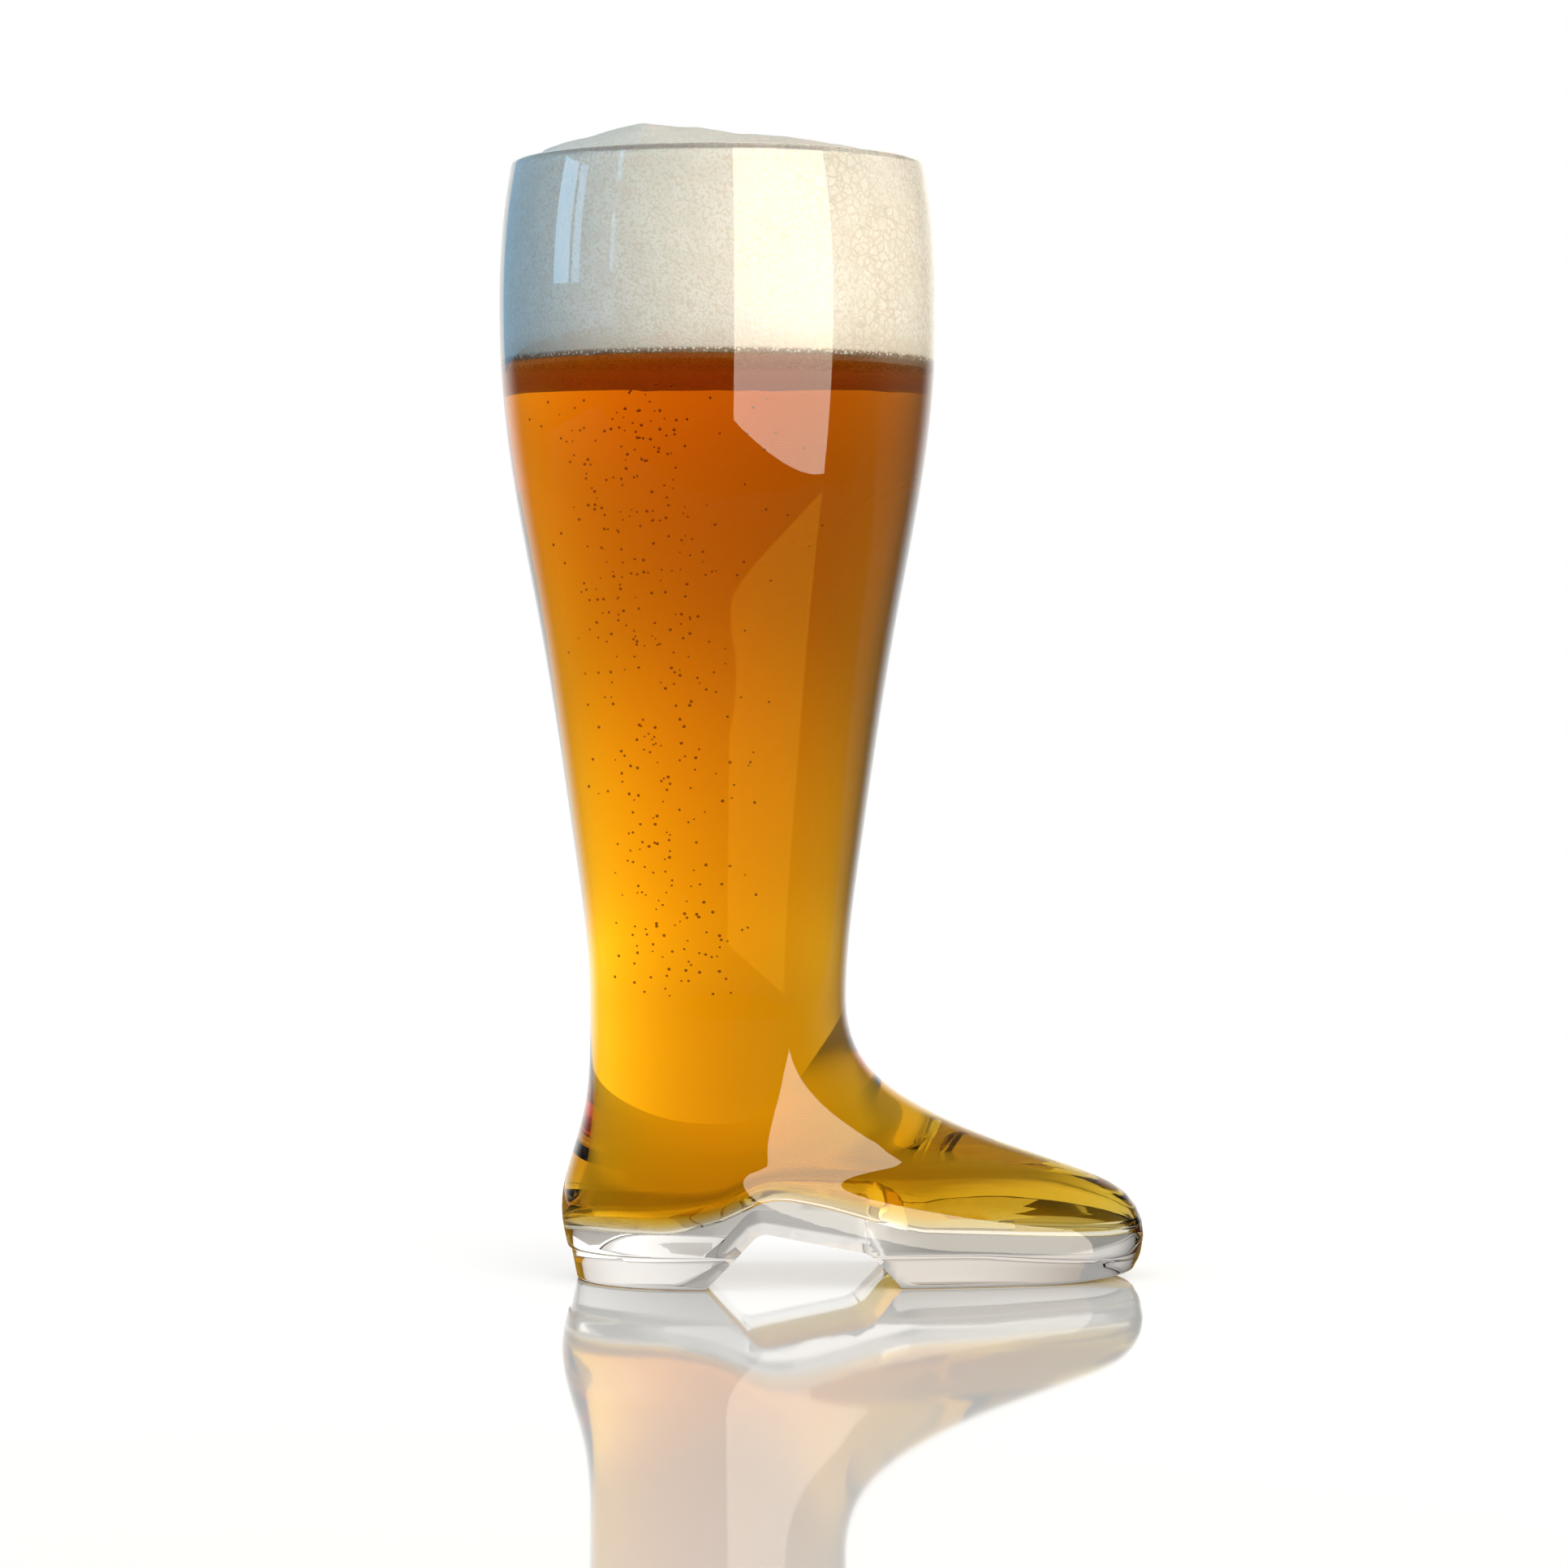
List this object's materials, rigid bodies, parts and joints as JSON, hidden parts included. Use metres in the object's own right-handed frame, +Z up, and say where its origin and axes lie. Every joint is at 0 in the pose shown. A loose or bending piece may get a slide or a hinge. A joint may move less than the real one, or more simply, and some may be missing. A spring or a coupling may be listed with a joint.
{
  "type": "beer boot glass",
  "caption": "Boot-shaped clear drinking glass with a flaring round leg, rounded toe and arched sole, filled with amber beer under a foam head that domes over the rim.",
  "frame": {"origin": "on the table, under the middle of the glass's bounding box", "axes": "+X points to the toe, +Z points up; the axis of the round leg is parallel to Z, 24 mm behind the origin"},
  "size_m": [0.1508, 0.1022, 0.2692],
  "materials": {
    "clear_glass": "smooth clear pressed glass, polished",
    "beer": "clear amber lager",
    "foam": "matte cream froth of fine bubbles"
  },
  "bodies": {
    "root": {"glass_boot": "clear_glass", "beer": "beer", "foam_head": "foam"}
  },
  "joints": []
}
